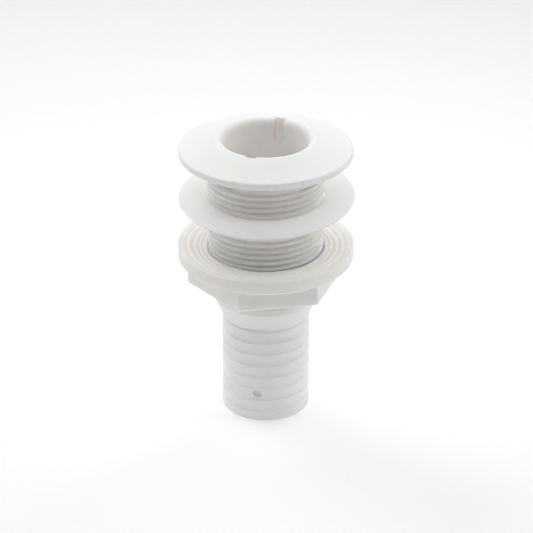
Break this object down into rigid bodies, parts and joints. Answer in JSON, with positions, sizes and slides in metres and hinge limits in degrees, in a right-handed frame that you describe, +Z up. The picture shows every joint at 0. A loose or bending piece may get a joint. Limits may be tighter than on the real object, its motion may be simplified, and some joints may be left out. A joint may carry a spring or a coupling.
{
  "type": "thru hull fitting",
  "caption": "White plastic thru hull fitting: shallow conical flange on a threaded barrel with a barbed hose tail, a loose sealing washer and a flanged hexagon nut.",
  "frame": {"origin": "centre of the hose tail's lower end, which the fitting stands on", "axes": "+Z up the axis of the fitting to the flange, +Y through the two keyways in the flange's mouth"},
  "size_m": [0.064, 0.064, 0.108],
  "materials": {
    "body_plastic": "satin moulded white plastic",
    "washer_plastic": "thin flexible white plastic",
    "nut_plastic": "satin moulded white plastic"
  },
  "bodies": {
    "fitting": {"fitting_body": "body_plastic"},
    "washer": {"sealing_washer": "washer_plastic"},
    "nut": {"flange_nut": "nut_plastic"}
  },
  "joints": [
    {"name": "nut_turn", "type": "hinge", "parent": "fitting", "child": "washer", "pos_m": [0, 0, 0.0593], "axis": [0, 0, 1], "range_deg": [-1620, 2930]},
    {"name": "nut_travel", "type": "slide", "parent": "washer", "child": "nut", "axis": [0, 0, 1], "range_m": [-0.01039, 0.01879]}
  ],
  "couplings": [
    {"joint": "nut_travel", "follows": "nut_turn", "m_per_rad": 0.0003675}
  ]
}
